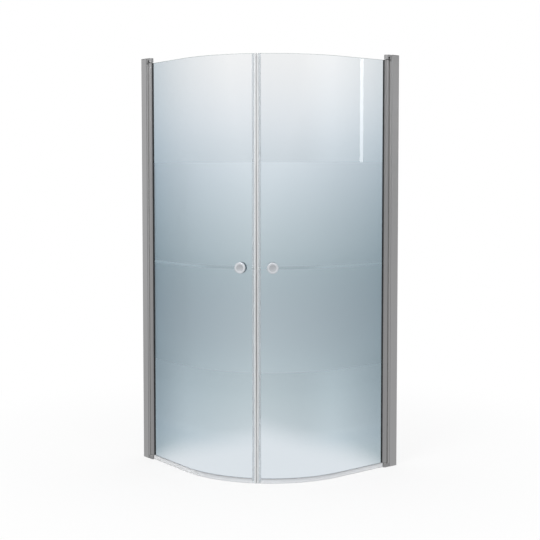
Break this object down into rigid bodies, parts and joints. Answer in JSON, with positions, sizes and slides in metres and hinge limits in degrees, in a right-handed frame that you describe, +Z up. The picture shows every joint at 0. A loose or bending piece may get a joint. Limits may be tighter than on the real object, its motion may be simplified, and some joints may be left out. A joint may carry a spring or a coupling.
{
  "type": "corner shower enclosure",
  "caption": "Quadrant corner shower enclosure: bent glass doors hinged on wall profiles, closing on the diagonal at a magnetic strip, with round chrome knobs.",
  "frame": {"origin": "on the floor, at the centre of the 900 mm square that the enclosure closes off; the room corner is at x -450 mm, y +450 mm", "axes": "+Z up; the left wall is the plane x -450 mm and the right wall is the plane y +450 mm"},
  "size_m": [0.9, 0.9, 2],
  "materials": {
    "anodised_aluminium": "satin anodised",
    "pivot_block_metal": "satin silver paint on die-cast zinc",
    "grey_plastic": "moulded, satin",
    "black_rubber": "matte",
    "grey_rubber": "matte",
    "black_plastic": "moulded",
    "black_steel": "blackened steel",
    "screw_steel": "stainless",
    "pin_steel": "stainless, ground",
    "white_nylon": "moulded",
    "door_glass": "clear toughened, polished, with an etched satin band at mid-height",
    "clear_vinyl": "translucent extruded vinyl",
    "clear_collar": "translucent, moulded",
    "magnet": "plastic-bound magnet bar, pale grey",
    "chrome": "satin chrome plate"
  },
  "bodies": {
    "wall_frames": {"left_wall_profile": "anodised_aluminium", "left_profile_cap": "grey_plastic", "left_hinge_post": "anodised_aluminium", "left_hinge_seal": "grey_rubber", "left_clamp_screws": "screw_steel", "left_top_bracket": "pivot_block_metal", "left_top_bracket_screws": "screw_steel", "left_top_grub_screw": "black_steel", "left_top_pivot_pin": "pin_steel", "left_bottom_bracket": "pivot_block_metal", "left_bottom_bracket_screws": "screw_steel", "left_bottom_pivot_pin": "pin_steel", "left_thrust_washer": "white_nylon", "right_wall_profile": "anodised_aluminium", "right_profile_cap": "grey_plastic", "right_hinge_post": "anodised_aluminium", "right_hinge_seal": "grey_rubber", "right_clamp_screws": "screw_steel", "right_top_bracket": "pivot_block_metal", "right_top_bracket_screws": "screw_steel", "right_top_grub_screw": "black_steel", "right_top_pivot_pin": "pin_steel", "right_bottom_bracket": "pivot_block_metal", "right_bottom_bracket_screws": "screw_steel", "right_bottom_pivot_pin": "pin_steel", "right_thrust_washer": "white_nylon"},
    "left_door": {"left_door_glass": "door_glass", "left_hinge_stile": "anodised_aluminium", "left_glazing_gasket": "black_rubber", "left_top_bush": "black_plastic", "left_bottom_bush": "black_plastic", "left_bottom_sweep": "clear_vinyl", "left_magnet_strip": "clear_vinyl", "left_magnet_core": "magnet", "left_outer_knob": "chrome", "left_inner_knob": "chrome", "left_knob_stud": "screw_steel", "left_knob_washers": "clear_collar"},
    "right_door": {"right_door_glass": "door_glass", "right_hinge_stile": "anodised_aluminium", "right_glazing_gasket": "black_rubber", "right_top_bush": "black_plastic", "right_bottom_bush": "black_plastic", "right_bottom_sweep": "clear_vinyl", "right_magnet_strip": "clear_vinyl", "right_magnet_core": "magnet", "right_outer_knob": "chrome", "right_inner_knob": "chrome", "right_knob_stud": "screw_steel", "right_knob_washers": "clear_collar"}
  },
  "joints": [
    {"name": "left_door_swing", "type": "hinge", "parent": "wall_frames", "child": "left_door", "pos_m": [-0.381, -0.436, 0], "axis": [0, 0, -1], "range_deg": [0, 95]},
    {"name": "right_door_swing", "type": "hinge", "parent": "wall_frames", "child": "right_door", "pos_m": [0.436, 0.381, 0], "axis": [0, 0, 1], "range_deg": [0, 95]}
  ]
}
